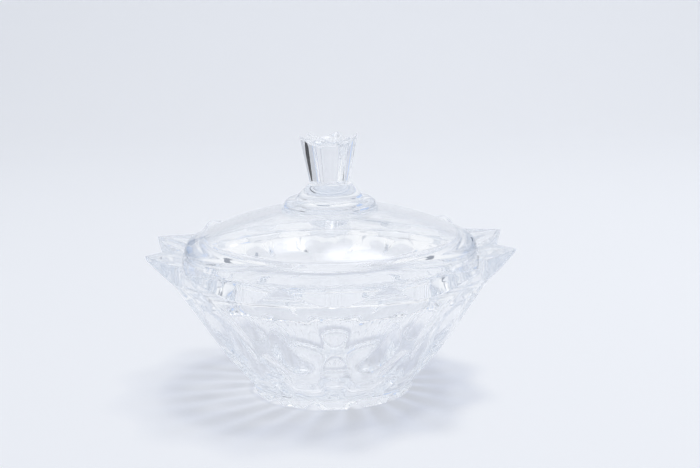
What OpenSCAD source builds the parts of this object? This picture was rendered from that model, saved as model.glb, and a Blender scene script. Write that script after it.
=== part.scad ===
// Covered candy bowl of pressed clear crystal: a bowl with a star-shaped rim, a domed lid and its knob.
// The origin is the middle of the face it stands on, +Z is up, and one notch of the rim faces -Y.

/* [Bowl] */
// Number of points round the rim, and of windows in each row
points = 12; // [10:1:13]
// Diameter across the points of the rim
rim_d = 205; // [198:1:216]
// Height of the points above the table
bowl_h = 82; // [78:0.5:92]
// Diameter of the foot where the wall starts
foot_d = 93; // [88:1:100]
// Height of the foot below the curved wall
foot_h = 6; // [4:0.5:9]
// Draft of the foot, the loss of radius from the wall's start to the table
foot_draft = 1.5; // [0:0.25:3]
// Diameter at which the wall turns out into the points
flare_d = 176; // [172:1:182]
// Height of the flared part, from that turn to the points
flare_h = 17; // [14:0.5:20]
// How far the wall bows out from a straight line
wall_bow = 2.5; // [1.5:0.25:4]
// Thickness of the glass at the ribs
wall_t = 9.5; // [8.5:0.25:11]
// Thickness of the glass at the middle of the floor
floor_t = 8; // [6:0.5:12]
// Radius of the dished floor
floor_dish_r = 110; // [90:1:160]

/* [Rim] */
// Diameter across the bottoms of the notches between the points
notch_d = 180; // [178:0.5:183]
// Width of the blunt bottom of a notch
notch_w = 1.6; // [1:0.2:4]
// Width of a point at its outer end
point_w = 2.4; // [1.6:0.2:4]
// Height of the blunt outer end of a point
point_t = 1.6; // [1:0.2:3]
// Height of the curb round the lid's seat
curb_h = 1.4; // [0.8:0.1:2.4]
// How far the rim's top rises from the curb to the points
rim_rise = 4.2; // [2:0.1:6]

/* [Windows] */
// Width of a window of the upper row
upper_w = 27; // [22:0.5:30]
// Length of a window of the upper row, along the wall
upper_l = 47; // [40:0.5:50]
// Depth of a window of the upper row
upper_depth = 4.6; // [3:0.1:5]
// Height of the middle of the upper row
upper_z = 45; // [42:0.5:48]
// Width of a window of the lower row
lower_w = 16; // [12:0.5:19]
// Length of a window of the lower row, along the wall
lower_l = 35; // [26:0.5:37]
// Depth of a window of the lower row
lower_depth = 3.4; // [2:0.1:4]
// Height of the middle of the lower row
lower_z = 22; // [20:0.5:24]
// Width of a window of the crest row, which lies under the notches
crest_w = 16; // [13:0.5:16]
// Length of a window of the crest row, along the wall
crest_l = 24; // [24:0.5:27]
// Depth of a window of the crest row
crest_depth = 2.2; // [1.6:0.1:2.4]
// Height of the middle of the crest row
crest_z = 56.5; // [54:0.5:57]

/* [Foot] */
// Diameter of the hollow under the foot
hollow_d = 66; // [56:1:74]
// Depth of the hollow under the foot
hollow_depth = 3.4; // [3.2:0.1:5]
// Width of the arch between two pads of the foot
arch_w = 9.5; // [6:0.5:12]
// Height of the arch between two pads of the foot
arch_h = 2.8; // [1.5:0.1:3]

/* [Lid] */
// Diameter of the lid
lid_d = 161.6; // [158:0.2:163]
// Gap between the lid's edge and the curb
lid_gap = 0.8; // [0.4:0.1:1.4]
// Diameter of the bowl's mouth inside the seat
mouth_d = 150; // [144:0.5:152]
// Gap between the lid's lip and the mouth
lip_gap = 0.9; // [0.4:0.1:1.6]
// Depth of the lip below the seat
lip_h = 3.5; // [2:0.25:6]
// Thickness of the lip
lip_t = 4.5; // [3:0.25:6]
// Height of the lid's crown above its seat, without the flat for the knob
crown_h = 27.5; // [24:0.5:34]
// Radius of the dome
dome_r = 172; // [165:1:185]
// Radius of the rounded shoulder at the lid's edge
shoulder_r = 6; // [4:0.5:8]
// Thickness of the dome
dome_t = 5; // [4:0.25:7]

/* [Knob] */
// Number of flutes round the knob
flutes = 6; // [5:1:8]
// Turn of the flutes about the knob's axis
flute_turn = 43; // [0:1:60]
// Diameter of the round disc that the knob stands on
disc_d = 52; // [46:0.5:56]
// Height of that disc
disc_h = 5.5; // [4:0.25:7]
// Overhang of the disc past its flat seat on the dome
disc_overhang = 0.6; // [0.3:0.1:1.2]
// Diameter of the shoulder above the disc
collar_d = 38; // [34:0.5:40]
// Height of the shoulder
collar_h = 8; // [6:0.5:11]
// Diameter over the corners at the foot of the stem
stem_d = 23; // [21:0.5:25]
// Diameter over the corners at the top of the stem
stem_top_d = 33.4; // [30:0.2:38]
// Height of the stem
stem_h = 27; // [22:0.5:34]
// Depth of a flute below a flat side
flute_depth = 0.8; // [0.4:0.1:1.4]
// Radius of the dished top
top_dish_r = 26; // [22:1:40]

/* [Hidden] */
// Facets of a full turn in the preview: for small rounds, for wide ones and for long arcs
$fn = 72;
round_fn = 120;
arc_fn = 360;

// Extra length of a cutter past the face that it opens
past = 2;

// Angle from one point of the rim to the next
pitch = 360 / points;
tip_r = rim_d / 2;
foot_r = foot_d / 2;
flare_r = flare_d / 2;
flare_z = bowl_h - flare_h;
notch_r = notch_d / 2;
mouth_r = mouth_d / 2;
lid_r = lid_d / 2;

// Seat of the lid: a flat ledge inside a low curb
curb_r = lid_r + lid_gap;
curb_z = bowl_h - rim_rise;
seat_z = curb_z - curb_h;

// Arc of the wall: its chord runs from the foot to the flare and it bows out by wall_bow
chord = [flare_r - foot_r, flare_z - foot_h];
chord_l = norm(chord);
chord_n = [chord.y, -chord.x] / chord_l;
wall_arc_r = (chord_l * chord_l / 4 + wall_bow * wall_bow) / (2 * wall_bow);
wall_mid = [(foot_r + flare_r) / 2, (foot_h + flare_z) / 2];
wall_c = wall_mid - chord_n * (wall_arc_r - wall_bow);

// Radius of the wall at height z, and how far its outward normal leans down there
function wall_r(z) = wall_c.x + sqrt(wall_arc_r * wall_arc_r - (z - wall_c.y) * (z - wall_c.y));
function wall_lean(z) = asin((wall_c.y - z) / wall_arc_r);

// Notch of the rim: straight sides from its blunt bottom past the edges of two points, then out clear of the rim
tip_turn = pitch / 2 - asin(point_w / 2 / tip_r);
tip_edge = [tip_r * cos(tip_turn), tip_r * sin(tip_turn)];
notch_in = [notch_r, notch_w / 2];
notch_run = tip_edge - notch_in;
side_turn = (tip_turn + pitch / 2) / 2;
side_slope = tan(side_turn);
side_share = (notch_in.x * side_slope - notch_in.y) / (notch_run.y - notch_run.x * side_slope);
notch_side = notch_in + notch_run * side_share;
notch_out = [tip_r + past, (tip_r + past) * side_slope];

// Arch between two pads of the foot
arch_r = (arch_w * arch_w / 4 + arch_h * arch_h) / (2 * arch_h);

// Dome of the lid: its arc, and the round shoulder that meets it tangent inside the edge
crown_z = seat_z + crown_h;
dome_cz = crown_z - dome_r;
shoulder_x = lid_r - shoulder_r;
shoulder_z = dome_cz + sqrt(pow(dome_r - shoulder_r, 2) - shoulder_x * shoulder_x);
shoulder_end = shoulder_x * dome_r / (dome_r - shoulder_r);
lip_r = mouth_r - lip_gap;
lid_in_r = lip_r - lip_t;

// Flat seat of the knob on the crown
disc_r = disc_d / 2;
knob_seat_r = disc_r - disc_overhang;
knob_z = dome_cz + sqrt(dome_r * dome_r - knob_seat_r * knob_seat_r);

// Stem of the knob: flutes lean out with its sides
stem_r = stem_d / 2;
stem_top_r = stem_top_d / 2;
stem_z = knob_z + disc_h + collar_h;
flat_share = cos(180 / flutes);
side_r = stem_r * flat_share - flute_depth;
flute_lean = atan((stem_top_r - stem_r) * flat_share / stem_h);
half_side = stem_r * sin(180 / flutes);
flute_r = (half_side * half_side + flute_depth * flute_depth) / (2 * flute_depth);
flute_l = 3 * stem_h;

// Colour of the clear glass
crystal = [0.86, 0.91, 0.96, 0.55];

// Half section of the bowl before it is hollowed: foot, bowed wall and flared rim
module bowl_section() {
    polygon([[0, 0], [foot_r - foot_draft, 0], [foot_r, foot_h], [0, foot_h]]);
    intersection() {
        translate(wall_c)
            circle(wall_arc_r, $fn = arc_fn);
        translate([0, foot_h])
            square([tip_r, flare_z - foot_h]);
    }
    polygon([
        [0, flare_z], [flare_r, flare_z], [tip_r, bowl_h - point_t],
        [tip_r, bowl_h], [curb_r, curb_z], [0, curb_z]
    ]);
}

// Half section of the space inside: dished floor, wall and mouth
module inside_section() {
    intersection() {
        translate(wall_c)
            circle(wall_arc_r - wall_t, $fn = arc_fn);
        translate([0, floor_t + floor_dish_r])
            circle(floor_dish_r, $fn = arc_fn);
        square([mouth_r, bowl_h + past]);
    }
}

// Lid's seat: the ledge opens upwards inside the curb
module seat_cut() {
    translate([0, 0, seat_z])
        cylinder(h = bowl_h, r = curb_r);
}

// One notch between two points of the rim
module notch_cut() {
    translate([0, 0, foot_h])
        linear_extrude(height = bowl_h)
            polygon([
                [notch_in.x, -notch_in.y], [notch_side.x, -notch_side.y], [notch_out.x, -notch_out.y],
                notch_out, notch_side, notch_in
            ]);
}

// One window of the wall, hollowed as by a round-edged wheel that is sunk in square to the wall
module window_cut(z, w, l, depth) {
    lean = wall_lean(z);
    edge_r = 1 / (8 * depth / (w * w) - cos(lean) / wall_r(z));
    wheel_r = 1 / (8 * depth / (l * l) - 1 / wall_arc_r);
    translate([wall_r(z), 0, z])
        rotate([0, lean, 0])
            translate([wheel_r - depth, 0, 0])
                rotate([90, 0, 0])
                    rotate_extrude($fn = round_fn)
                        translate([wheel_r - edge_r, 0])
                            circle(edge_r);
}

// One arch between two pads of the foot, from the hollow outwards
module arch_cut() {
    translate([hollow_d / 2 - past, 0, arch_h - arch_r])
        rotate([0, 90, 0])
            cylinder(h = foot_r, r = arch_r);
}

// Repeats a cut once for each point of the rim, turned by a share of the pitch
module round_rim(share) {
    for (i = [0:points - 1])
        rotate([0, 0, (i + share) * pitch - 90])
            children();
}

module bowl() {
    color(crystal)
        difference() {
            rotate_extrude($fn = round_fn)
                bowl_section();
            rotate_extrude($fn = round_fn)
                inside_section();
            seat_cut();
            round_rim(0)
                notch_cut();
            round_rim(0.5)
                window_cut(upper_z, upper_w, upper_l, upper_depth);
            round_rim(0)
                window_cut(lower_z, lower_w, lower_l, lower_depth);
            round_rim(0)
                window_cut(crest_z, crest_w, crest_l, crest_depth);
            round_rim(0.5)
                arch_cut();
            translate([0, 0, -past])
                cylinder(h = hollow_depth + past, d = hollow_d);
        }
}

// Half section of the lid's outside: the dome with its round shoulder, and the lip under it
module lid_outside() {
    intersection() {
        translate([0, dome_cz])
            circle(dome_r, $fn = arc_fn);
        union() {
            translate([0, seat_z])
                square([lid_r, shoulder_z - seat_z]);
            translate([shoulder_x, shoulder_z])
                circle(shoulder_r);
            translate([0, seat_z])
                square([shoulder_end, crown_h]);
        }
        translate([0, seat_z])
            square([lid_r + past, knob_z - seat_z]);
    }
    translate([0, seat_z - lip_h])
        square([lip_r, lip_h + shoulder_r / 2]);
}

// Half section of the hollow under the dome
module lid_inside() {
    intersection() {
        translate([0, dome_cz])
            circle(dome_r - dome_t, $fn = arc_fn);
        translate([0, seat_z - lip_h - past])
            square([lid_in_r, crown_h + lip_h + past]);
    }
}

module lid() {
    color(crystal)
        difference() {
            rotate_extrude($fn = round_fn)
                lid_outside();
            rotate_extrude($fn = round_fn)
                lid_inside();
        }
}

// One flute of the stem, a long round cut that leans out with the stem's side
module flute_cut() {
    translate([side_r, 0, stem_z])
        rotate([0, flute_lean, 0])
            translate([flute_r, 0, 0])
                cylinder(h = flute_l, r = flute_r, $fn = round_fn);
}

// Half section of the disc under the knob, with its quarter-round edge
module disc_section() {
    square([disc_r - disc_h, disc_h]);
    intersection() {
        translate([disc_r - disc_h, 0])
            circle(disc_h);
        square([disc_r + past, disc_h + past]);
    }
}

module knob() {
    color(crystal) {
        translate([0, 0, knob_z]) {
            rotate_extrude($fn = round_fn)
                disc_section();
            translate([0, 0, disc_h])
                cylinder(h = collar_h, d1 = collar_d, d2 = stem_d);
        }
        difference() {
            translate([0, 0, stem_z])
                cylinder(h = stem_h, r1 = stem_r, r2 = stem_top_r);
            for (i = [0:flutes - 1])
                rotate([0, 0, flute_turn + i * 360 / flutes])
                    flute_cut();
            translate([0, 0, stem_z + stem_h + sqrt(top_dish_r * top_dish_r - stem_top_r * stem_top_r)])
                sphere(top_dish_r);
        }
    }
}

bowl();
lid();
knob();
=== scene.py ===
import math

import bpy
from mathutils import Euler, Matrix, Vector


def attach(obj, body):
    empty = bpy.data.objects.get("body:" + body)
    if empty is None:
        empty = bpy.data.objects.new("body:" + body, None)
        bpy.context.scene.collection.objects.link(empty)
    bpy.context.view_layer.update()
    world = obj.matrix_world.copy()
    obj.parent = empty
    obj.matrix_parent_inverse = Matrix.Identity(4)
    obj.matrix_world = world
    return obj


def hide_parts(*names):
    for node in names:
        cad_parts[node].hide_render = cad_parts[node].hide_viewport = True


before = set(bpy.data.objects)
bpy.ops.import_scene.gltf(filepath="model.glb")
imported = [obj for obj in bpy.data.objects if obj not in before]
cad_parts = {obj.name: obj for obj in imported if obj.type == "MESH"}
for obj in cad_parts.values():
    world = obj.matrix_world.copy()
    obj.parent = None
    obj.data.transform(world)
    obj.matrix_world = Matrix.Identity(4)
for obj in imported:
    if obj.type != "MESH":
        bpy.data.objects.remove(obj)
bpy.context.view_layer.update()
print("frame loaded with nodes", sorted(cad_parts))

mm = 0.001


# helpers for profiles, all in millimetres

# most of a stretch that the rounding at one of its ends may take up
longestEase = 0.45
bisectSteps = 40


def smoothMax(a, b, soft):
    return 0.5 * (a + b + math.hypot(a - b, soft))


def smoothMin(a, b, soft):
    return 0.5 * (a + b - math.hypot(a - b, soft))


def bisect(low, high, isBelow):
    # the place between low and high up to which isBelow holds
    for _ in range(bisectSteps):
        middle = (low + high) / 2
        if isBelow(middle):
            low = middle
        else:
            high = middle
    return low


def between(start, end, count):
    # the points of a straight stretch, without its two ends
    return [start.lerp(end, k / (count + 1)) for k in range(1, count + 1)]


def easeCorner(before, corner, after, size, steps):
    # a corner of a profile, rounded over size on both of its sides
    back = before - corner
    ahead = after - corner
    start = corner + back.normalized() * min(size, longestEase * back.length)
    end = corner + ahead.normalized() * min(size, longestEase * ahead.length)
    shares = [k / steps for k in range(steps + 1)]
    return [start.lerp(corner, s).lerp(corner.lerp(end, s), s) for s in shares]


def easedProfile(corners, steps):
    # corners are (point, rounding, points on the stretch after it); the ends are taken as they are
    points = []
    for k, (corner, rounding, stretch) in enumerate(corners):
        if k in (0, len(corners) - 1) or rounding == 0:
            points.append(corner)
        else:
            points += easeCorner(corners[k - 1][0], corner, corners[k + 1][0], rounding, steps)
        if stretch:
            nextCorner, nextRounding, _ = corners[k + 1]
            start = points[-1]
            end = nextCorner
            if nextRounding and k + 2 < len(corners):
                end = easeCorner(corner, nextCorner, corners[k + 2][0], nextRounding, steps)[0]
            points += between(start, end, stretch)
    return points


def arcRadius(chord, rise):
    return (chord * chord / 4 + rise * rise) / (2 * rise)


def arcPoint(x, z, radius, angle):
    # angle is measured from straight up
    return Vector((x + radius * math.sin(angle), z + radius * math.cos(angle)))


# helpers for objects and nodes

# places of a mix node's colour sockets, which share their names with other sockets
mixFirst = 6
mixSecond = 7
mixResult = 2


def addObject(name, data):
    item = bpy.data.objects.new(name, data)
    bpy.context.scene.collection.objects.link(item)
    return item


def addMaterial(name):
    material = bpy.data.materials.new(name)
    material.use_nodes = True
    return material


def addSockets(tree, inOut, kinds):
    for name, kind in kinds.items():
        tree.interface.new_socket(name, in_out=inOut, socket_type="NodeSocket" + kind)


def feed(tree, socket, value):
    # a socket gets a plain value or the output of another node
    if isinstance(value, (int, float, tuple)):
        socket.default_value = value
    else:
        tree.links.new(value, socket)


def mathNode(tree, operation, *values):
    node = tree.nodes.new("ShaderNodeMath")
    node.operation = operation
    for socket, value in zip(node.inputs, values):
        feed(tree, socket, value)
    return node.outputs[0]


def mapNode(tree, value, fromRange, toRange=(0.0, 1.0), interpolation="LINEAR"):
    node = tree.nodes.new("ShaderNodeMapRange")
    node.interpolation_type = interpolation
    ends = ("From Min", "From Max", "To Min", "To Max")
    for end, amount in zip(ends, (*fromRange, *toRange)):
        node.inputs[end].default_value = amount
    feed(tree, node.inputs["Value"], value)
    return node.outputs["Result"]


def mixNode(tree, factor, first, second):
    node = tree.nodes.new("ShaderNodeMix")
    node.data_type = "RGBA"
    feed(tree, node.inputs["Factor"], factor)
    feed(tree, node.inputs[mixFirst], first)
    feed(tree, node.inputs[mixSecond], second)
    return node.outputs[mixResult]


def sightRays(tree):
    # 1 for rays that the camera or the glass sees by, 0 for rays that light the floor
    path = tree.nodes.new("ShaderNodeLightPath")
    seen = path.outputs["Is Camera Ray"]
    for kind in ("Is Glossy Ray", "Is Transmission Ray"):
        seen = mathNode(tree, "MAXIMUM", seen, path.outputs[kind])
    return seen


# one sector of a piece that repeats round the axis, from columns of (radius, height, turn) points

def sectorMesh(name, columns, middle):
    rows = len(columns[0])
    verts = []
    index = {}
    for i in range(rows):
        onAxis = i in (0, rows - 1)
        for j, column in enumerate(columns):
            if onAxis and j > 0:
                index[i, j] = index[i, 0]
                continue
            radius, height, turn = column[i]
            angle = math.radians(middle + turn)
            if onAxis:
                radius = 0.0
            index[i, j] = len(verts)
            verts.append((radius * math.cos(angle) * mm, radius * math.sin(angle) * mm, height * mm))
    faces = []
    for i in range(rows - 1):
        for j in range(len(columns) - 1):
            corners = [index[i, j], index[i, j + 1], index[i + 1, j + 1], index[i + 1, j]]
            faces.append(list(dict.fromkeys(corners)))
    mesh = bpy.data.meshes.new(name)
    mesh.from_pydata(verts, [], faces)
    return mesh


# tree that turns a sector round the axis and welds the copies into one closed piece

weldDistance = 0.002 * mm


def makeRoundTree():
    tree = bpy.data.node_groups.new("repeatRound", "GeometryNodeTree")
    addSockets(tree, "INPUT", {"Sector": "Geometry", "Copies": "Int", "Weld": "Float", "Glass": "Material"})
    addSockets(tree, "OUTPUT", {"Piece": "Geometry"})
    add = tree.nodes.new
    link = tree.links.new
    given = add("NodeGroupInput")
    points = add("GeometryNodePoints")
    copyIndex = add("GeometryNodeInputIndex")
    turnVector = add("ShaderNodeCombineXYZ")
    copies = add("GeometryNodeInstanceOnPoints")
    real = add("GeometryNodeRealizeInstances")
    weld = add("GeometryNodeMergeByDistance")
    smooth = add("GeometryNodeSetShadeSmooth")
    glass = add("GeometryNodeSetMaterial")
    result = add("NodeGroupOutput")
    turnStep = mathNode(tree, "DIVIDE", 2 * math.pi, given.outputs["Copies"])
    copyTurn = mathNode(tree, "MULTIPLY", turnStep, copyIndex.outputs["Index"])
    link(given.outputs["Copies"], points.inputs["Count"])
    link(copyTurn, turnVector.inputs["Z"])
    link(points.outputs[0], copies.inputs["Points"])
    link(given.outputs["Sector"], copies.inputs["Instance"])
    link(turnVector.outputs[0], copies.inputs["Rotation"])
    link(copies.outputs["Instances"], real.inputs["Geometry"])
    link(real.outputs["Geometry"], weld.inputs["Geometry"])
    link(given.outputs["Weld"], weld.inputs["Distance"])
    link(weld.outputs["Geometry"], smooth.inputs["Geometry"])
    link(smooth.outputs["Geometry"], glass.inputs["Geometry"])
    link(given.outputs["Glass"], glass.inputs["Material"])
    link(glass.outputs["Geometry"], result.inputs["Piece"])
    return tree


def roundPiece(name, tree, sector, copies, glass):
    source = addObject(name + "Sector", sector)
    modifier = source.modifiers.new("repeatRound", "NODES")
    modifier.node_group = tree
    values = {"Copies": copies, "Weld": weldDistance, "Glass": glass}
    for item in tree.interface.items_tree:
        if item.in_out == "INPUT" and item.name in values:
            modifier[item.identifier] = values[item.name]
    graph = bpy.context.evaluated_depsgraph_get()
    mesh = bpy.data.meshes.new_from_object(source.evaluated_get(graph))
    mesh.name = name
    source.modifiers.remove(modifier)
    bpy.data.objects.remove(source)
    piece = addObject(name, mesh)
    print(name, "has", sum(len(p.vertices) - 2 for p in mesh.polygons), "triangles")
    return piece


# clear pressed crystal

glassLook = {
    "tint": (0.998, 0.999, 1.0, 1),
    "body": (0.91, 0.93, 0.955, 1),
    "bodyDensity": 8.0,
    "ior": 1.56,
    "ripple": 0.06,
    "rippleScale": 34.0,
    "rippleDetail": 1.5,
    "rippleRoughness": 0.4,
    "rippleHeight": 1 * mm,
    "polish": 0.012,
    "wear": 0.03,
    "smearScale": 95.0,
    "smearDetail": 4.0,
    "smearRange": (0.52, 0.74),
}


def makePressFinish(look):
    group = bpy.data.node_groups.new("pressFinish", "ShaderNodeTree")
    addSockets(group, "INPUT", {"Ripple Scale": "Float", "Polish": "Float", "Wear": "Float"})
    addSockets(group, "OUTPUT", {"Roughness": "Float", "Height": "Float"})
    add = group.nodes.new
    link = group.links.new
    given = add("NodeGroupInput")
    place = add("ShaderNodeTexCoord")
    ripple = add("ShaderNodeTexNoise")
    ripple.inputs["Detail"].default_value = look["rippleDetail"]
    ripple.inputs["Roughness"].default_value = look["rippleRoughness"]
    smears = add("ShaderNodeTexNoise")
    smears.inputs["Scale"].default_value = look["smearScale"]
    smears.inputs["Detail"].default_value = look["smearDetail"]
    result = add("NodeGroupOutput")
    link(place.outputs["Object"], ripple.inputs["Vector"])
    link(place.outputs["Object"], smears.inputs["Vector"])
    link(given.outputs["Ripple Scale"], ripple.inputs["Scale"])
    patches = mapNode(group, smears.outputs["Fac"], look["smearRange"])
    rough = mathNode(group, "MULTIPLY_ADD", patches, given.outputs["Wear"], given.outputs["Polish"])
    link(rough, result.inputs["Roughness"])
    link(ripple.outputs["Fac"], result.inputs["Height"])
    return group


def makeCrystal(name, finish, look):
    material = addMaterial(name)
    nodes = material.node_tree.nodes
    link = material.node_tree.links.new
    shader = nodes["Principled BSDF"]
    shader.inputs["Base Color"].default_value = look["tint"]
    shader.inputs["IOR"].default_value = look["ior"]
    shader.inputs["Transmission Weight"].default_value = 1.0
    press = nodes.new("ShaderNodeGroup")
    press.node_tree = finish
    press.inputs["Ripple Scale"].default_value = look["rippleScale"]
    press.inputs["Polish"].default_value = look["polish"]
    press.inputs["Wear"].default_value = look["wear"]
    bump = nodes.new("ShaderNodeBump")
    bump.inputs["Strength"].default_value = look["ripple"]
    bump.inputs["Distance"].default_value = look["rippleHeight"]
    link(press.outputs["Roughness"], shader.inputs["Roughness"])
    link(press.outputs["Height"], bump.inputs["Height"])
    link(bump.outputs["Normal"], shader.inputs["Normal"])
    body = nodes.new("ShaderNodeVolumeAbsorption")
    body.inputs["Color"].default_value = look["body"]
    body.inputs["Density"].default_value = look["bodyDensity"]
    link(body.outputs["Volume"], nodes["Material Output"].inputs["Volume"])
    return material


roundTree = makeRoundTree()
pressFinish = makePressFinish(glassLook)
crystal = makeCrystal("crystal", pressFinish, glassLook)
print("crystal made")


# bowl: star rim, hollowed windows, scalloped foot

bowlShape = {
    "points": 12,
    "notchTurn": -90.0,
    "tipRadius": 102.5,
    "height": 82.0,
    "footRadius": 46.5,
    "footHeight": 6.0,
    "footDraft": 1.5,
    "flareRadius": 88.0,
    "flareHeight": 17.0,
    "flareBlend": 1.6,
    "wallBow": 2.5,
    "wallThickness": 9.5,
    "floorThickness": 8.0,
    "floorDishRadius": 110.0,
    "floorBlendUp": 7.0,
    "floorBlendIn": 9.0,
    "notchRadius": 90.0,
    "notchWidth": 1.6,
    "pointWidth": 2.4,
    "pointThickness": 1.6,
    "curbRadius": 81.6,
    "curbHeight": 1.4,
    "rimRise": 4.2,
    "mouthRadius": 75.0,
    "mouthBlend": 3.0,
    "hollowRadius": 33.0,
    "hollowDepth": 3.4,
    "archWidth": 9.5,
    "archHeight": 2.8,
    "archSoftness": 0.25,
    "archSettle": 0.004,
    "creaseReach": 5.0,
    "upperWindow": {"height": 45.0, "width": 27.0, "length": 47.0, "depth": 4.6},
    "lowerWindow": {"height": 22.0, "width": 16.0, "length": 35.0, "depth": 3.4},
    "crestWindow": {"height": 56.5, "width": 16.0, "length": 24.0, "depth": 2.2},
    "windowEdge": 0.9,
    "firePolish": 0.6,
    "rounding": {
        "hollowTop": 0.5,
        "hollowEdge": 0.4,
        "footEdge": 0.5,
        "curbTop": 0.5,
        "curbFoot": 0.3,
        "mouthTop": 0.5,
        "mouthFoot": 2.0,
        "floor": 30.0,
    },
    "rows": {
        "corner": 3,
        "hollow": 5,
        "hollowSide": 1,
        "underside": 4,
        "footSide": 3,
        "wall": 84,
        "flare": 8,
        "tip": 4,
        "rim": 5,
        "curb": 1,
        "seat": 2,
        "mouth": 4,
        "inside": 20,
        "floorCorner": 6,
        "floor": 8,
    },
    # across half an upper window, a rib, a lower window, a rib and half an upper window
    "columns": {
        "upper": 8,
        "rib": 6,
        "lower": 10,
        "upperRest": 6.0,
        "lowerRest": 4.0,
        "least": 0.7,
        "growth": 1.0,
        "ridge": 0.4,
    },
}


class BowlProfile:
    def __init__(self, shape):
        self.shape = shape
        self.rounding = shape["rounding"]
        self.rows = shape["rows"]
        self.columns = shape["columns"]
        self.half = 180 / shape["points"]
        self.flareZ = shape["height"] - shape["flareHeight"]
        self.curbZ = shape["height"] - shape["rimRise"]
        self.seatZ = self.curbZ - shape["curbHeight"]
        flareRun = shape["tipRadius"] - shape["flareRadius"]
        self.flareSlope = flareRun / (shape["flareHeight"] - shape["pointThickness"])
        # arc of the wall from the foot to the flare
        start = Vector((shape["footRadius"], shape["footHeight"]))
        end = Vector((shape["flareRadius"], self.flareZ))
        chord = end - start
        self.arc = arcRadius(chord.length, shape["wallBow"])
        normal = Vector((chord.y, -chord.x)).normalized()
        self.centre = (start + end) / 2 - normal * (self.arc - shape["wallBow"])
        # straight sides of a notch, from its blunt bottom to the edges of two points
        tip = shape["tipRadius"]
        self.tipTurn = self.half - math.degrees(math.asin(shape["pointWidth"] / 2 / tip))
        tipAngle = math.radians(self.tipTurn)
        edge = Vector((math.cos(tipAngle), math.sin(tipAngle))) * tip
        self.notchSlope = (edge.x - shape["notchRadius"]) / (edge.y - shape["notchWidth"] / 2)
        self.archCut = arcRadius(shape["archWidth"], shape["archHeight"])

    def lean(self, z):
        return math.asin((self.centre.y - z) / self.arc)

    def wallRadius(self, z):
        return self.centre.x + math.sqrt(self.arc ** 2 - (z - self.centre.y) ** 2)

    def blankRadius(self, z):
        # outside before the windows are cut: the bowed wall runs into the flare
        flare = self.shape["flareRadius"] + (z - self.flareZ) * self.flareSlope
        return smoothMax(self.wallRadius(z), flare, self.shape["flareBlend"])

    def starRadius(self, turn):
        shape = self.shape
        angle = math.radians(abs(turn))
        bottom = shape["notchRadius"] / math.cos(angle)
        start = shape["notchRadius"] - self.notchSlope * shape["notchWidth"] / 2
        side = start / (math.cos(angle) - self.notchSlope * math.sin(angle))
        notch = smoothMax(bottom, side, shape["firePolish"])
        return smoothMin(notch, shape["tipRadius"], shape["firePolish"])

    def crease(self, turn):
        # height at which the outside reaches the star's outline, looked for from a little below the flare
        star = self.starRadius(turn)
        low = self.flareZ - self.shape["creaseReach"]
        return bisect(low, self.shape["height"], lambda z: self.wallPoint(turn, z).x < star)

    def archLift(self, turn, radius):
        # height of the foot's underside, which arches up below the points
        # the softening lifts its level parts by archSettle, which is taken off again
        shape = self.shape
        across = radius * math.sin(math.radians(self.half - abs(turn)))
        rise = math.sqrt(max(self.archCut ** 2 - across ** 2, 0.0)) + shape["archHeight"] - self.archCut
        return smoothMax(rise, 0.0, shape["archSoftness"]) - shape["archSettle"]

    def windowRise(self, window, z):
        # share of a window's width that is left at a height, and how far past its end the height lies
        along = self.arc * (self.lean(window["height"]) - self.lean(z))
        past = abs(along) - window["length"] / 2
        return math.sqrt(max(1 - (2 * along / window["length"]) ** 2, 0.0)), past

    def edgeTurn(self, window, z, rest):
        # turn from a window's middle to the column that follows its edge
        share, past = self.windowRise(window, z)
        least = self.columns["least"]
        if past > 0:
            return min(least + self.columns["growth"] * past, rest)
        return max(math.degrees(math.asin(window["width"] / 2 * share / self.blankRadius(z))), least)

    def restTurns(self):
        # even columns up to the edges of a point, whose blunt end has its own
        count = 2 * self.columns["upper"] + 2 * self.columns["rib"] + self.columns["lower"] - 2
        even = [self.tipTurn * (2 * k / count - 1) for k in range(count + 1)]
        return [-self.half] + even + [self.half]

    def wallTurns(self, z):
        shape = self.shape
        columns = self.columns
        upper = self.half - self.edgeTurn(shape["upperWindow"], z, columns["upperRest"])
        middles = [shape["lowerWindow"], shape["crestWindow"]]
        inside = [w for w in middles if self.windowRise(w, z)[1] <= 0]
        edges = [self.edgeTurn(w, z, columns["lowerRest"]) for w in inside or middles]
        lower = max(edges) if inside else min(edges)
        if upper - lower < columns["ridge"]:
            ridge = (upper + lower) / 2
            lower = ridge - columns["ridge"] / 2
            upper = ridge + columns["ridge"] / 2
        stops = [-self.half, -upper, -lower, lower, upper, self.half]
        counts = [columns["upper"], columns["rib"], columns["lower"], columns["rib"], columns["upper"]]
        turns = [-self.half]
        for start, end, count in zip(stops, stops[1:], counts):
            for k in range(1, count + 1):
                share = 0.5 - 0.5 * math.cos(math.pi * k / count)
                turns.append(start + (end - start) * share)
        return turns

    def windowSink(self, turn, z):
        # depth of the windows below the plain wall: upper ones under the points, the others under the notches
        shape = self.shape
        radius = self.blankRadius(z)
        proud = radius - self.wallRadius(z)
        sink = 0.0
        for name, middle in (("upperWindow", self.half), ("lowerWindow", 0.0), ("crestWindow", 0.0)):
            window = shape[name]
            across = radius * math.sin(math.radians(abs(turn) - middle))
            along = self.arc * (self.lean(window["height"]) - self.lean(z))
            share = (2 * across / window["width"]) ** 2 + (2 * along / window["length"]) ** 2
            sink = smoothMax(sink, window["depth"] * (1 - share) + proud, shape["windowEdge"])
        return sink

    def wallPoint(self, turn, z):
        lean = self.lean(z)
        sink = self.windowSink(turn, z)
        return Vector((self.blankRadius(z) - sink * math.cos(lean), z + sink * math.sin(lean)))

    def innerWall(self, z):
        arc = self.arc - self.shape["wallThickness"]
        return self.centre.x + math.sqrt(arc * arc - (z - self.centre.y) ** 2)

    def floorHeight(self, radius):
        dish = self.shape["floorDishRadius"]
        return self.shape["floorThickness"] + dish - math.sqrt(dish * dish - radius * radius)

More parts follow.
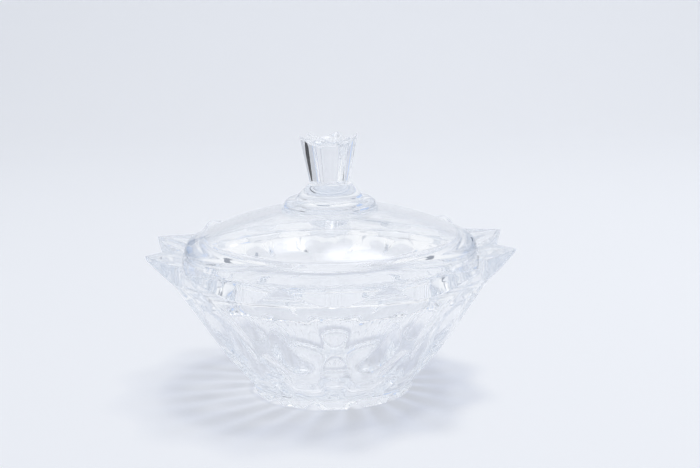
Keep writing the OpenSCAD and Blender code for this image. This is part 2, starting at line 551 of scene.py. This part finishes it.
    def floorEdge(self):
        # where the dished floor meets the inside of the wall
        z = bisect(self.shape["footHeight"], self.flareZ, lambda z: self.floorHeight(self.innerWall(z)) > z)
        return Vector((self.innerWall(z), z))

    def mouthEdge(self):
        # height at which the inside of the wall meets the upright mouth
        arc = self.arc - self.shape["wallThickness"]
        return self.centre.y - math.sqrt(arc * arc - (self.shape["mouthRadius"] - self.centre.x) ** 2)

    def underside(self, turn):
        shape = self.shape
        rounding = self.rounding
        rows = self.rows
        footEdge = shape["footRadius"] - shape["footDraft"]
        hollow = shape["hollowRadius"]
        lift = self.archLift(turn, footEdge)
        footSide = footEdge + shape["footDraft"] * lift / shape["footHeight"]
        return easedProfile([
            (Vector((0, shape["hollowDepth"])), 0, rows["hollow"]),
            (Vector((hollow, shape["hollowDepth"])), rounding["hollowTop"], rows["hollowSide"]),
            (Vector((hollow, self.archLift(turn, hollow))), rounding["hollowEdge"], rows["underside"]),
            (Vector((footSide, lift)), rounding["footEdge"], rows["footSide"]),
            (Vector((shape["footRadius"], shape["footHeight"])), 0, 0),
        ], rows["corner"])

    def rim(self, turn, before):
        shape = self.shape
        rounding = self.rounding
        rows = self.rows
        polish = shape["firePolish"]
        curb = shape["curbRadius"]
        mouth = shape["mouthRadius"]
        star = self.starRadius(turn)
        rimSlope = shape["rimRise"] / (shape["tipRadius"] - curb)
        innerTop = self.mouthEdge() - shape["mouthBlend"]
        return easedProfile([
            (before, 0, 0),
            (self.wallPoint(turn, self.crease(turn)), polish, rows["tip"]),
            (Vector((star, self.curbZ + (star - curb) * rimSlope)), polish, rows["rim"]),
            (Vector((curb, self.curbZ)), rounding["curbTop"], rows["curb"]),
            (Vector((curb, self.seatZ)), rounding["curbFoot"], rows["seat"]),
            (Vector((mouth, self.seatZ)), rounding["mouthTop"], rows["mouth"]),
            (Vector((mouth, self.mouthEdge())), rounding["mouthFoot"], 0),
            (Vector((self.innerWall(innerTop), innerTop)), 0, 0),
        ], rows["corner"])[1:]

    def inside(self):
        shape = self.shape
        rows = self.rows
        corner = self.floorEdge()
        start = self.mouthEdge() - shape["mouthBlend"]
        end = corner.y + shape["floorBlendUp"]
        wall = []
        for k in range(1, rows["inside"] + 1):
            z = start + (end - start) * k / rows["inside"]
            wall.append(Vector((self.innerWall(z), z)))
        floorStart = corner.x - shape["floorBlendIn"]
        floor = []
        for k in range(rows["floor"] + 1):
            radius = floorStart * (1 - k / rows["floor"])
            floor.append(Vector((radius, self.floorHeight(radius))))
        turnIn = easeCorner(wall[-1], corner, floor[0], self.rounding["floor"], rows["floorCorner"])
        return wall + turnIn[1:-1] + floor

    def sector(self):
        shape = self.shape
        wallCount = self.rows["wall"]
        flareCount = self.rows["flare"]
        rise = self.flareZ - shape["footHeight"]
        heights = [shape["footHeight"] + rise * k / wallCount for k in range(1, wallCount + 1)]
        rowTurns = [self.wallTurns(z) for z in heights]
        inside = self.inside()
        sector = []
        for j, rest in enumerate(self.restTurns()):
            column = [(p.x, p.y, rest) for p in self.underside(rest)]
            for z, turns in zip(heights, rowTurns):
                point = self.wallPoint(turns[j], z)
                column.append((point.x, point.y, turns[j]))
            crease = self.crease(rest)
            for k in range(1, flareCount):
                share = k / flareCount
                z = self.flareZ + (crease - self.flareZ) * share
                ease = share * share * (3 - 2 * share)
                turn = rowTurns[-1][j] + (rest - rowTurns[-1][j]) * ease
                point = self.wallPoint(turn, z)
                column.append((point.x, point.y, turn))
            before = Vector(column[-1][:2])
            column += [(p.x, p.y, rest) for p in self.rim(rest, before) + inside]
            sector.append(column)
        return sector


bowlProfile = BowlProfile(bowlShape)
bowlSector = sectorMesh("bowlSector", bowlProfile.sector(), bowlShape["notchTurn"])
bowlGlass = roundPiece("bowlGlass", roundTree, bowlSector, bowlShape["points"], crystal)
print("bowl made")


# lid and knob: one clear piece, as the bond between them doesn't show

lidShape = {
    "radius": 80.8,
    "seatZ": 76.4,
    "seatGap": 0.08,
    "lipRadius": 74.1,
    "lipDepth": 3.5,
    "lipThickness": 4.5,
    "crownHeight": 27.5,
    "domeRadius": 172.0,
    "domeThickness": 5.0,
    "hollowShare": 0.97,
    "shoulderRadius": 6.0,
    "firePolish": 0.6,
    "rounding": {"lipInside": 1.5, "flange": 0.4},
    "rows": {
        "corner": 3,
        "hollow": 22,
        "lipInside": 3,
        "lipEdge": 2,
        "lipOutside": 1,
        "flange": 3,
        "edge": 2,
        "shoulder": 9,
        "dome": 30,
    },
}

knobShape = {
    "flutes": 6,
    "fluteTurn": 43.0,
    "discRadius": 26.0,
    "discHeight": 5.5,
    "discOverhang": 0.6,
    "discGap": 0.15,
    "collarRadius": 19.0,
    "collarHeight": 8.0,
    "stemRadius": 11.5,
    "stemTopRadius": 16.7,
    "stemHeight": 27.0,
    "stemStart": 2.0,
    "fluteDepth": 0.8,
    "topDishRadius": 26.0,
    "topInset": 2.8,
    "topBack": 3,
    "cornerSoftness": 1.0,
    "ledge": 0.4,
    "rounding": {"collarFoot": 0.6, "collarTop": 1.2, "stemFoot": 0.7, "top": 1.2},
    "rows": {"corner": 4, "disc": 10, "collar": 8, "ledge": 1, "stem": 26, "topCorner": 5, "dish": 9},
    "columns": 48,
}

# rounds after which the height of the knob's edge no longer moves
edgeRounds = 8


class LidProfile:
    def __init__(self, lid, knob):
        self.lid = lid
        self.knob = knob
        self.domeZ = lid["seatZ"] + lid["crownHeight"] - lid["domeRadius"]
        self.discSeat = knob["discRadius"] - knob["discOverhang"]
        self.knobZ = self.domeHeight(self.discSeat)
        self.stemZ = self.knobZ + knob["discHeight"] + knob["collarHeight"]
        self.topZ = self.stemZ + knob["stemHeight"]
        dish = knob["topDishRadius"]
        self.dishZ = self.topZ + math.sqrt(dish * dish - knob["stemTopRadius"] ** 2)
        halfSide = math.pi / knob["flutes"]
        self.sideShare = math.cos(halfSide)
        self.fluteCut = arcRadius(2 * knob["stemRadius"] * math.sin(halfSide), knob["fluteDepth"])

    def domeHeight(self, radius):
        return self.domeZ + math.sqrt(self.lid["domeRadius"] ** 2 - radius * radius)

    def innerHeight(self, radius):
        inner = self.lid["domeRadius"] - self.lid["domeThickness"]
        return self.domeZ + math.sqrt(inner * inner - radius * radius)

    def dishHeight(self, radius):
        return self.dishZ - math.sqrt(self.knob["topDishRadius"] ** 2 - radius * radius)

    def stemRadius(self, turn, z):
        # round cone with a flute between each two corners
        knob = self.knob
        share = (z - self.stemZ) / knob["stemHeight"]
        cone = knob["stemRadius"] + (knob["stemTopRadius"] - knob["stemRadius"]) * share
        side = cone * self.sideShare - knob["fluteDepth"]
        middle = side + self.fluteCut
        across = middle * math.sin(math.radians(turn))
        flute = middle * math.cos(math.radians(turn)) - math.sqrt(self.fluteCut ** 2 - across ** 2)
        return smoothMin(flute, cone, knob["cornerSoftness"])

    def stemPoint(self, turn, z):
        return Vector((self.stemRadius(turn, z), z))

    def dome(self):
        # from the axis under the dome, round the lip and the edge, and up to the knob's disc
        lid = self.lid
        rounding = lid["rounding"]
        rows = lid["rows"]
        polish = lid["firePolish"]
        lipOut = lid["lipRadius"]
        lipIn = lipOut - lid["lipThickness"]
        lipZ = lid["seatZ"] - lid["lipDepth"]
        flangeZ = lid["seatZ"] + lid["seatGap"]
        bend = lid["shoulderRadius"]
        bendX = lid["radius"] - bend
        bendReach = lid["domeRadius"] - bend
        bendZ = self.domeZ + math.sqrt(bendReach ** 2 - bendX ** 2)
        hollow = []
        for k in range(rows["hollow"] + 1):
            radius = lipIn * lid["hollowShare"] * k / rows["hollow"]
            hollow.append(Vector((radius, self.innerHeight(radius))))
        lip = easedProfile([
            (hollow[-1], 0, 0),
            (Vector((lipIn, self.innerHeight(lipIn))), rounding["lipInside"], rows["lipInside"]),
            (Vector((lipIn, lipZ)), polish, rows["lipEdge"]),
            (Vector((lipOut, lipZ)), polish, rows["lipOutside"]),
            (Vector((lipOut, flangeZ)), rounding["flange"], rows["flange"]),
            (Vector((lid["radius"], flangeZ)), polish, rows["edge"]),
            (Vector((lid["radius"], bendZ)), 0, 0),
        ], rows["corner"])[1:]
        endAngle = math.asin(bendX / bendReach)
        shoulder = []
        for k in range(1, rows["shoulder"] + 1):
            angle = math.pi / 2 + (endAngle - math.pi / 2) * k / rows["shoulder"]
            shoulder.append(arcPoint(bendX, bendZ, bend, angle))
        start = bendX * lid["domeRadius"] / bendReach
        dome = []
        for k in range(1, rows["dome"] + 1):
            radius = start + (self.discSeat - start) * k / rows["dome"]
            dome.append(Vector((radius, self.domeHeight(radius))))
        return hollow + lip + shoulder + dome

    def disc(self):
        knob = self.knob
        count = knob["rows"]["disc"]
        bend = knob["discHeight"]
        points = []
        for k in range(count + 1):
            share = 1 - k / count
            lift = self.knobZ + knob["discGap"] * share
            points.append(arcPoint(knob["discRadius"] - bend, lift, bend, math.pi / 2 * share))
        return points

    def stem(self, turn, before):
        # collar, stem and dished top, back to the axis
        knob = self.knob
        rounding = knob["rounding"]
        rows = knob["rows"]
        discTop = self.knobZ + knob["discHeight"]
        start = knob["stemStart"]
        stemFoot = min(self.stemRadius(turn, self.stemZ), knob["stemRadius"] - knob["ledge"])
        collar = easedProfile([
            (before, 0, 0),
            (Vector((knob["collarRadius"], discTop)), rounding["collarFoot"], rows["collar"]),
            (Vector((knob["stemRadius"], self.stemZ)), rounding["collarTop"], rows["ledge"]),
            (Vector((stemFoot, self.stemZ)), rounding["stemFoot"], 0),
            (self.stemPoint(turn, self.stemZ + start), 0, 0),
        ], rows["corner"])[1:]
        edgeZ = self.topZ
        for _ in range(edgeRounds):
            edgeZ = self.dishHeight(self.stemRadius(turn, edgeZ))
        stem = []
        for k in range(1, rows["stem"] + 1):
            z = self.stemZ + start + (edgeZ - self.stemZ - start) * k / rows["stem"]
            stem.append(self.stemPoint(turn, z))
        edge = stem.pop()
        # the row next to the edge makes way for its rounding, which starts from topBack rows down the stem
        stem.pop()
        inset = edge.x - knob["topInset"]
        onDish = Vector((inset, self.dishHeight(inset)))
        top = easeCorner(stem[-knob["topBack"]], edge, onDish, rounding["top"], rows["topCorner"])
        dish = []
        for k in range(rows["dish"] + 1):
            radius = inset * (1 - k / rows["dish"])
            dish.append(Vector((radius, self.dishHeight(radius))))
        return collar + stem + top + dish

    def sector(self):
        count = self.knob["columns"]
        half = 180 / self.knob["flutes"]
        below = self.dome() + self.disc()
        sector = []
        for k in range(count + 1):
            turn = half * (2 * k / count - 1)
            sector.append([(p.x, p.y, turn) for p in below + self.stem(turn, below[-1])])
        return sector


lidProfile = LidProfile(lidShape, knobShape)
lidSector = sectorMesh("lidSector", lidProfile.sector(), knobShape["fluteTurn"])
lidGlass = roundPiece("lidGlass", roundTree, lidSector, knobShape["flutes"], crystal)
print("lid made")


# stage: pale sweep, lamp, cards seen only in the glass, painted shadow of the glass, room, camera

stageLook = {
    "floor": (0.87, 0.893, 0.94, 1),
    "roughness": 0.8,
    "specular": 0.2,
    "seen": (0.858, 0.886, 0.948, 1),
    "seenShare": 0.45,
    "width": 12.0,
    "front": -6.0,
    "back": 1.6,
    "bend": 0.5,
    "bendSteps": 24,
    "height": 0.7,
    "drop": 0.05 * mm,
}


def makePaper(look):
    paper = addMaterial("sweepPaper")
    tree = paper.node_tree
    link = tree.links.new
    shader = tree.nodes["Principled BSDF"]
    shader.inputs["Base Color"].default_value = look["floor"]
    shader.inputs["Roughness"].default_value = look["roughness"]
    shader.inputs["Specular IOR Level"].default_value = look["specular"]
    # the camera and the glass see part of the floor as plain backdrop, so its shadow stays light
    amount = mathNode(tree, "MULTIPLY", sightRays(tree), look["seenShare"])
    plain = tree.nodes.new("ShaderNodeEmission")
    plain.inputs["Color"].default_value = look["seen"]
    mixed = tree.nodes.new("ShaderNodeMixShader")
    link(amount, mixed.inputs["Fac"])
    link(shader.outputs["BSDF"], mixed.inputs[1])
    link(plain.outputs["Emission"], mixed.inputs[2])
    link(mixed.outputs["Shader"], tree.nodes["Material Output"].inputs["Surface"])
    return paper


def makeSweep(look):
    bend = look["bend"]
    bendStart = look["back"] - bend
    outline = [Vector((look["front"], 0.0)), Vector((bendStart, 0.0))]
    for k in range(1, look["bendSteps"] + 1):
        angle = math.pi / 2 * k / look["bendSteps"]
        outline.append(Vector((bendStart + bend * math.sin(angle), bend - bend * math.cos(angle))))
    outline.append(Vector((look["back"], look["height"])))
    verts = []
    for x in (-look["width"] / 2, look["width"] / 2):
        verts += [(x, p.x, p.y - look["drop"]) for p in outline]
    count = len(outline)
    faces = [(k, count + k, count + k + 1, k + 1) for k in range(count - 1)]
    mesh = bpy.data.meshes.new("sweep")
    mesh.from_pydata(verts, [], faces)
    mesh.polygons.foreach_set("use_smooth", [True] * len(faces))
    mesh.materials.append(makePaper(look))
    return addObject("sweep", mesh)


def outwardTo(side, height):
    # direction as seen from the bowl: degrees to the right of straight back, and above level
    side = math.radians(side)
    height = math.radians(height)
    return Vector((math.cos(height) * math.sin(side), math.cos(height) * math.cos(side), math.sin(height)))


def faceInward(item, outward, distance):
    item.rotation_euler = outward.to_track_quat("Z", "Y").to_euler()
    item.location = outward * distance


# the lamp lights the floor only: the soft highlights in the glass are patches of the room
lampPlan = {"side": 75, "height": 78, "distance": 2.4, "size": (0.50, 0.50), "power": 34.5}


def makeLamp(name, plan):
    lamp = bpy.data.lights.new(name, "AREA")
    lamp.shape = "ELLIPSE"
    lamp.size, lamp.size_y = plan["size"]
    lamp.energy = plan["power"]
    light = addObject(name, lamp)
    faceInward(light, outwardTo(plan["side"], plan["height"]), plan["distance"])
    light.visible_glossy = False
    light.visible_transmission = False


# cards that only the glass sees, glowing at fixed tones: painted reflections that give it dark, grey and blue
# accents
cardTones = {
    "dark": (0.02, 0.02, 0.025, 1),
    "grey": (0.56, 0.59, 0.65, 1),
    "line": (0.06, 0.065, 0.08, 1),
    "frame": (0.26, 0.29, 0.35, 1),
    "slate": (0.36, 0.41, 0.50, 1),
    "blue": (0.50, 0.63, 0.90, 1),
}

# height of the knob, from which the cards' directions are taken, and their spread in degrees
cardsAbove = 0.122
cardPlan = {
    "darkCard": {"tone": "dark", "side": 25, "height": 3.5, "distance": 1.2, "spread": (6, 5)},
    "greyCard": {"tone": "grey", "side": 37, "height": 5.5, "distance": 1.25, "spread": (16, 8)},
    "lineCard": {"tone": "line", "side": -93, "height": 23.5, "distance": 1.2, "spread": (16, 5)},
    "frameBackLeft": {"tone": "frame", "side": -70, "height": 16, "distance": 1.3, "spread": (7, 44)},
    "frameBackRight": {"tone": "frame", "side": 76, "height": 16, "distance": 1.3, "spread": (7, 44)},
    "frameFrontLeft": {"tone": "frame", "side": -118, "height": 16, "distance": 1.3, "spread": (9, 44)},
    "frameFrontRight": {"tone": "frame", "side": 122, "height": 16, "distance": 1.3, "spread": (9, 44)},
    "slateLeft": {"tone": "slate", "side": -21, "height": 6, "distance": 1.2, "spread": (5, 9)},
    "slateHigh": {"tone": "slate", "side": 8, "height": 29, "distance": 1.2, "spread": (12, 4)},
    "slateRight": {"tone": "slate", "side": 49, "height": 10, "distance": 1.2, "spread": (4, 12)},
    "slateFar": {"tone": "slate", "side": -58, "height": 9, "distance": 1.2, "spread": (6, 14)},
    "blueLeft": {"tone": "blue", "side": -33, "height": 6, "distance": 1.2, "spread": (14, 16)},
    "blueRight": {"tone": "blue", "side": 60, "height": 6, "distance": 1.2, "spread": (18, 16)},
}


def makeCard(name, plan):
    material = addMaterial(name)
    tree = material.node_tree
    tree.nodes.remove(tree.nodes["Principled BSDF"])
    tone = tree.nodes.new("ShaderNodeEmission")
    tone.inputs["Color"].default_value = cardTones[plan["tone"]]
    tree.links.new(tone.outputs["Emission"], tree.nodes["Material Output"].inputs["Surface"])
    wide, tall = (plan["distance"] * math.tan(math.radians(a / 2)) for a in plan["spread"])
    corners = [(-wide, -tall, 0), (wide, -tall, 0), (wide, tall, 0), (-wide, tall, 0)]
    mesh = bpy.data.meshes.new(name)
    mesh.from_pydata(corners, [], [(0, 1, 2, 3)])
    mesh.materials.append(material)
    card = addObject(name, mesh)
    faceInward(card, outwardTo(plan["side"], plan["height"]), plan["distance"])
    card.location.z += cardsAbove
    card.visible_camera = False
    card.visible_diffuse = False
    card.visible_shadow = False
    return card


# painted shadow of the glass, cast by a hidden copy of the bowl: its painted colour lets light through the
# wall, less and bluer where it grazes it, and painted bright streaks round the axis stand in for the light
# that the ribs gather
shadeLook = {
    "blend": 0.5,
    "clear": (1.0, 1.0, 1.0, 1),
    "edge": (0.22, 0.31, 0.54, 1),
    "streaks": 24,
    "streakWave": (-1.0, 0.2),
    "streakDepth": 0.42,
    "streakTop": 0.075,
    "streakTopShare": 0.35,
    "streakSlope": (0.05, 0.25),
    "unevenScale": 26.0,
    "unevenNoise": (0.3, 0.7),
    "unevenDepth": (0.3, 1.6),
}


def makeShade(look):
    material = addMaterial("bowlShade")
    tree = material.node_tree
    nodes = tree.nodes
    link = tree.links.new
    nodes.remove(nodes["Principled BSDF"])
    weight = nodes.new("ShaderNodeLayerWeight")
    weight.inputs["Blend"].default_value = look["blend"]
    facing = weight.outputs["Facing"]
    # painted shade: clear where the light meets the wall, the bluish edge colour where it grazes it
    shade = mixNode(tree, facing, look["clear"], look["edge"])
    place = nodes.new("ShaderNodeTexCoord")
    parts = nodes.new("ShaderNodeSeparateXYZ")
    link(place.outputs["Object"], parts.inputs[0])
    # painted light streaks: the shade is deepened everywhere but along narrow lines round the axis, most low
    # on the wall, unevenly by noise, and not on level faces
    turn = mathNode(tree, "ARCTAN2", parts.outputs["Y"], parts.outputs["X"])
    wave = mathNode(tree, "COSINE", mathNode(tree, "MULTIPLY", turn, look["streaks"]))
    streak = mapNode(tree, wave, look["streakWave"], interpolation="SMOOTHSTEP")
    topDepth = look["streakDepth"] * look["streakTopShare"]
    fade = mapNode(tree, parts.outputs["Z"], (0.0, look["streakTop"]), (look["streakDepth"], topDepth))
    uneven = nodes.new("ShaderNodeTexNoise")
    uneven.inputs["Scale"].default_value = look["unevenScale"]
    link(place.outputs["Object"], uneven.inputs["Vector"])
    spread = mapNode(tree, uneven.outputs["Fac"], look["unevenNoise"], look["unevenDepth"])
    sloped = mapNode(tree, facing, look["streakSlope"])
    depth = mathNode(tree, "MULTIPLY", mathNode(tree, "MULTIPLY", fade, spread), sloped)
    kept = mathNode(tree, "SUBTRACT", 1.0, mathNode(tree, "MULTIPLY", streak, depth))
    parted = nodes.new("ShaderNodeVectorMath")
    parted.operation = "SCALE"
    link(shade, parted.inputs[0])
    link(kept, parted.inputs["Scale"])
    through = nodes.new("ShaderNodeBsdfTransparent")
    link(parted.outputs[0], through.inputs["Color"])
    link(through.outputs["BSDF"], nodes["Material Output"].inputs["Surface"])
    return material


def makeShadow(piece, look):
    mesh = piece.data.copy()
    mesh.materials.clear()
    mesh.materials.append(makeShade(look))
    shadow = addObject(piece.name + "Shadow", mesh)
    for kind in ("camera", "diffuse", "glossy", "transmission"):
        setattr(shadow, "visible_" + kind, False)
    return shadow


worldLook = {
    "sky": (0.96, 0.975, 1.0, 1),
    "side": (0.61, 0.67, 0.78, 1),
    "rise": (0.0, 0.6),
    "strength": 1.0,
    "lit": 0.37,
}

# dark and bright patches of the room that the glass picks up
# each has a direction, and the angles in degrees of its even part and its soft edge
roomPatches = {
    "room": {"toward": (0.0, -1.0, 0.1), "inner": 20, "outer": 42, "colour": (0.68, 0.74, 0.85, 1)},
    "doorway": {"toward": (-0.30, -0.95, 0.05), "inner": 4, "outer": 9, "colour": (0.03, 0.035, 0.05, 1)},
    "keyLeft": {"toward": outwardTo(9, 58), "inner": 2, "outer": 7.5, "colour": (2.3, 2.3, 2.35, 1)},
    "keyRight": {"toward": outwardTo(19, 58), "inner": 2, "outer": 7.5, "colour": (2.3, 2.3, 2.35, 1)},
    "window": {"toward": outwardTo(-13, 49), "inner": 1.5, "outer": 6, "colour": (1.9, 1.9, 1.95, 1)},
}


def makeWorld(look, patches):
    world = bpy.data.worlds.new("studio")
    bpy.context.scene.world = world
    world.use_nodes = True
    tree = world.node_tree
    link = tree.links.new
    place = tree.nodes.new("ShaderNodeTexCoord")
    direction = place.outputs["Generated"]
    parts = tree.nodes.new("ShaderNodeSeparateXYZ")
    link(direction, parts.inputs[0])
    rise = mapNode(tree, parts.outputs["Z"], look["rise"], interpolation="SMOOTHSTEP")
    studio = mixNode(tree, rise, look["side"], look["sky"])
    for patch in patches.values():
        toward = tree.nodes.new("ShaderNodeVectorMath")
        toward.operation = "DOT_PRODUCT"
        link(direction, toward.inputs[0])
        toward.inputs[1].default_value = Vector(patch["toward"]).normalized()
        limits = [math.cos(math.radians(patch[name])) for name in ("outer", "inner")]
        inPatch = mapNode(tree, toward.outputs["Value"], limits, interpolation="SMOOTHSTEP")
        studio = mixNode(tree, inPatch, studio, patch["colour"])
    # the camera and the glass see it brighter than it lights the floor, which the lamp lights too
    strength = mapNode(tree, sightRays(tree), (0.0, 1.0), (look["lit"], look["strength"]))
    background = tree.nodes["Background"]
    link(studio, background.inputs["Color"])
    link(strength, background.inputs["Strength"])


cameraPlan = {
    "distance": 0.630,
    "elevation": 12.95,
    "azimuth": -0.9,
    "target": (0, 0, 0.070),
    "lens": 57.97,
    "sensor": 36.0,
    "clipStart": 0.01,
    "lookRight": 0.99,
    "lookUp": 1.457,
    "roll": -1.07,
}


def makeCamera(plan):
    elevation = math.radians(plan["elevation"])
    azimuth = math.radians(plan["azimuth"])
    away = Vector((
        math.sin(azimuth) * math.cos(elevation),
        -math.cos(azimuth) * math.cos(elevation),
        math.sin(elevation),
    ))
    lens = bpy.data.cameras.new("camera")
    lens.lens = plan["lens"]
    lens.sensor_width = plan["sensor"]
    lens.clip_start = plan["clipStart"]
    camera = addObject("camera", lens)
    aim = (-away).to_track_quat("-Z", "Y").to_matrix()
    nudge = Euler((math.radians(plan["lookUp"]), math.radians(-plan["lookRight"]), 0)).to_matrix()
    roll = Matrix.Rotation(math.radians(plan["roll"]), 3, "Z")
    camera.rotation_euler = (aim @ nudge @ roll).to_euler()
    camera.location = Vector(plan["target"]) + away * plan["distance"]
    bpy.context.scene.camera = camera


# light that the cut glass holds by total reflection needs many bounces to come out again
glassBounces = 128

sweep = makeSweep(stageLook)
makeLamp("topSoftbox", lampPlan)
cards = [makeCard(cardName, plan) for cardName, plan in cardPlan.items()]
bowlShadow = makeShadow(bowlGlass, shadeLook)
# the real glass casts no shadow, and diffuse rays pass through it: the bowl's shadow is the painted one of
# its hidden copy, and the lid casts none
for piece in (bowlGlass, lidGlass):
    piece.visible_shadow = False
    piece.visible_diffuse = False
makeWorld(worldLook, roomPatches)
makeCamera(cameraPlan)
bpy.context.scene.view_settings.view_transform = "Standard"
bpy.context.scene.cycles.max_bounces = glassBounces
bpy.context.scene.cycles.transmission_bounces = glassBounces
bpy.context.scene.cycles.glossy_bounces = glassBounces
print("stage made")


# hand the pieces to the frame

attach(bowlGlass, "bowl")
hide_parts("bowl")
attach(lidGlass, "lid")
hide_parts("lid", "knob")
